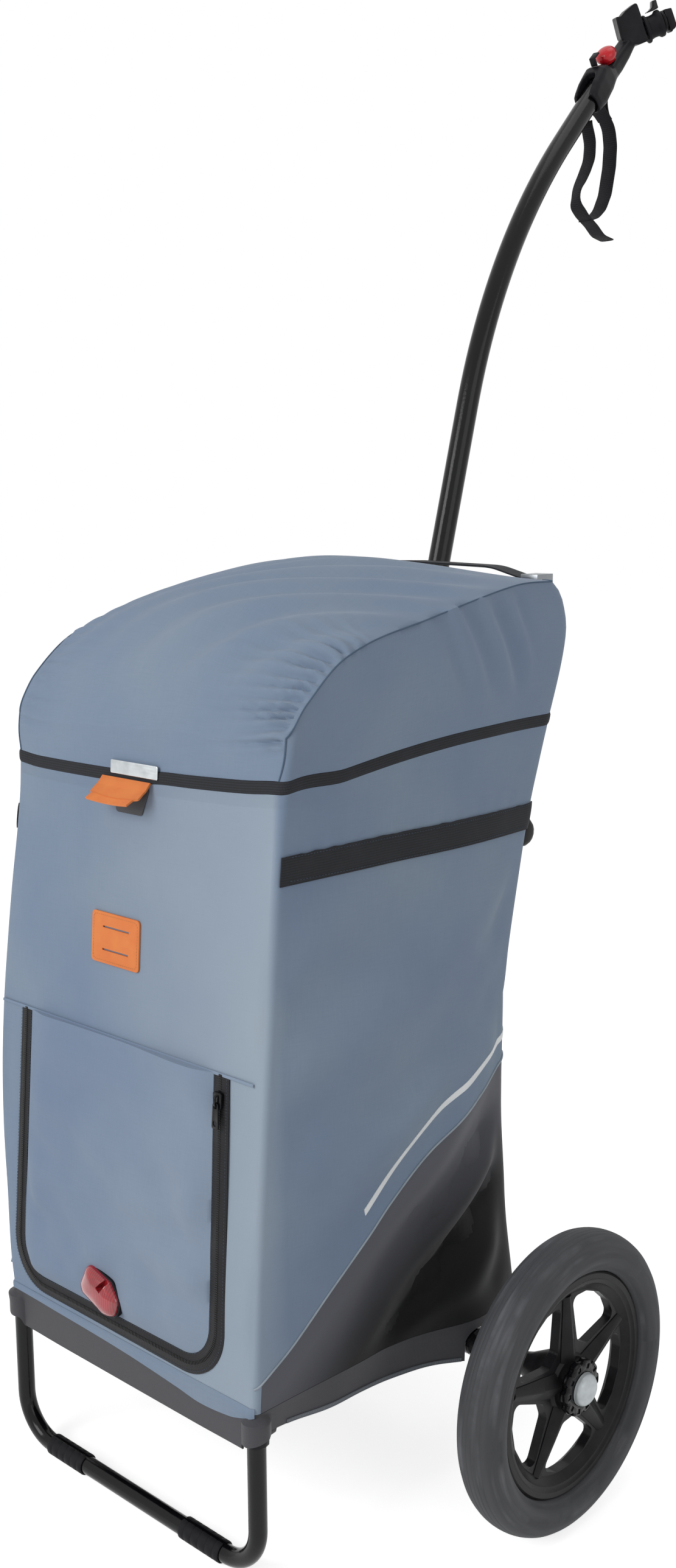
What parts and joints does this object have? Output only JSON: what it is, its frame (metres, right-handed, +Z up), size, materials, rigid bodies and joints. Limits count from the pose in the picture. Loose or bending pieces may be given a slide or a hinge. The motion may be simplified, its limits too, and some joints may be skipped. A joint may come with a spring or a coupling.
{
  "type": "bike shopping trailer",
  "caption": "Two-wheeled fabric shopping trailer with a hinged lid, a front zip pocket, a foot frame and a long bent tow bar that ends in a swivelling hitch.",
  "frame": {"origin": "on the floor under the middle of the whole trailer, between its two wheels", "axes": "+Z up, -Y out of the bag's front with the pocket, +Y towards the tow bar and its hitch, X along the wheel axle"},
  "size_m": [0.7376, 0.9102, 1.6118],
  "materials": {
    "black_powder": "satin black powder coat",
    "black_plastic": "fine moulded texture",
    "board": "plain",
    "black_rubber": "matt",
    "tyre": "matt rubber",
    "bag_fabric": "coated blue-grey weave",
    "black_fabric": "black weave",
    "black_webbing": "ribbed webbing",
    "leather": "tan grain",
    "red_plastic": "gloss red",
    "silver_metal": "satin silver",
    "steel": "plain steel"
  },
  "bodies": {
    "frame": {"foot_tube": "black_powder", "foot_glide_left": "black_rubber", "foot_glide_right": "black_rubber", "corner_connector_left": "black_plastic", "corner_connector_right": "black_plastic", "side_rail_left": "black_powder", "side_rail_right": "black_powder", "axle_tube": "black_powder", "axle_bracket_left": "black_plastic", "axle_bracket_right": "black_plastic", "axle_stub_left": "steel", "axle_stub_right": "steel", "upright_left": "black_powder", "upright_right": "black_powder", "upright_plug_left": "black_plastic", "upright_plug_right": "black_plastic", "crossbar": "black_plastic", "lower_crossbar": "black_plastic", "crossbar_cap_left": "black_plastic", "crossbar_cap_right": "black_plastic", "base_board": "board", "bag_shell": "bag_fabric", "base_skirt": "black_fabric", "side_band_left": "black_webbing", "side_band_right": "black_webbing", "carry_handle": "black_webbing", "handle_fitting_left": "silver_metal", "handle_fitting_right": "silver_metal", "pocket_panel": "bag_fabric", "zip_tape": "black_webbing", "leather_patch": "leather", "light_housing": "black_plastic", "light_lens": "red_plastic", "tab_backing": "black_fabric"},
    "slider": {"zip_slider": "black_plastic"},
    "pull": {"zip_pull": "black_plastic"},
    "lid": {"lid": "bag_fabric", "lid_band": "black_webbing", "clasp_plate": "silver_metal"},
    "tab": {"leather_tab": "leather"},
    "wheel_left": {"wheel_disc_left": "black_plastic", "tyre_left": "tyre", "wheel_bushing_left": "board", "hub_cap_left": "black_plastic"},
    "wheel_right": {"wheel_disc_right": "black_plastic", "tyre_right": "tyre", "wheel_bushing_right": "board", "hub_cap_right": "black_plastic"},
    "button_left": {"release_button_left": "silver_metal"},
    "button_right": {"release_button_right": "silver_metal"},
    "clamp": {"clamp_knob": "black_plastic"},
    "tow": {"tow_bar": "black_powder", "coupling_arm": "black_plastic", "knob_guard": "black_plastic", "safety_strap": "black_webbing"},
    "release": {"release_knob": "red_plastic"},
    "hitch": {"hitch_barrel": "black_plastic", "rubber_boot": "black_rubber", "hitch_block": "black_plastic"},
    "latch": {"latch_tab": "black_plastic"}
  },
  "joints": [
    {"name": "wheel_left_spin", "type": "hinge", "parent": "frame", "child": "wheel_left", "pos_m": [-0.335, -0.15099, 0.1525], "axis": [1, 0, 0], "continuous": true},
    {"name": "wheel_right_spin", "type": "hinge", "parent": "frame", "child": "wheel_right", "pos_m": [0.335, -0.15099, 0.1525], "axis": [1, 0, 0], "continuous": true},
    {"name": "button_left_press", "type": "slide", "parent": "frame", "child": "button_left", "axis": [1, 0, 0], "range_m": [0, 0.003], "stiffness_N_per_m": 600, "springref_m": -0.002},
    {"name": "button_right_press", "type": "slide", "parent": "frame", "child": "button_right", "axis": [-1, 0, 0], "range_m": [0, 0.003], "stiffness_N_per_m": 600, "springref_m": -0.002},
    {"name": "lid_open", "type": "hinge", "parent": "frame", "child": "lid", "pos_m": [0, 0.00051, 0.9335], "axis": [-1, 0, 0], "range_deg": [0, 75]},
    {"name": "tab_lift", "type": "hinge", "parent": "lid", "child": "tab", "pos_m": [-0.0165, -0.39921, 0.7535], "axis": [1, 0, 0], "range_deg": [-40, 32]},
    {"name": "slider_run", "type": "slide", "parent": "frame", "child": "slider", "axis": [0.0206, -0.0707, -0.9973], "range_m": [0, 0.2]},
    {"name": "pull_swing", "type": "hinge", "parent": "slider", "child": "pull", "pos_m": [0.12947, -0.42408, 0.46777], "axis": [0.9998, 0.0015, 0.0206], "range_deg": [-120, 0]},
    {"name": "tow_slide", "type": "slide", "parent": "frame", "child": "tow", "axis": [0, 0.2714, 0.9625], "range_m": [0, 0.1]},
    {"name": "clamp_turn", "type": "hinge", "parent": "frame", "child": "clamp", "pos_m": [0, -0.01001, 0.66548], "axis": [0, 0.9625, -0.2714], "range_deg": [0, 360]},
    {"name": "release_pull", "type": "slide", "parent": "tow", "child": "release", "axis": [0, -0.7224, 0.6915], "range_m": [0, 0.008], "stiffness_N_per_m": 500, "springref_m": -0.003},
    {"name": "hitch_swivel", "type": "hinge", "parent": "tow", "child": "hitch", "pos_m": [0.0147, 0.422, 1.57747], "axis": [0.6825, 0.6145, 0.3958], "range_deg": [-60, 60]},
    {"name": "latch_press", "type": "hinge", "parent": "hitch", "child": "latch", "pos_m": [0.02688, 0.42893, 1.60181], "axis": [-0.7102, 0.6855, 0.1604], "range_deg": [0, 15], "stiffness_Nm_per_rad": 0.05, "springref_deg": -5.73}
  ]
}
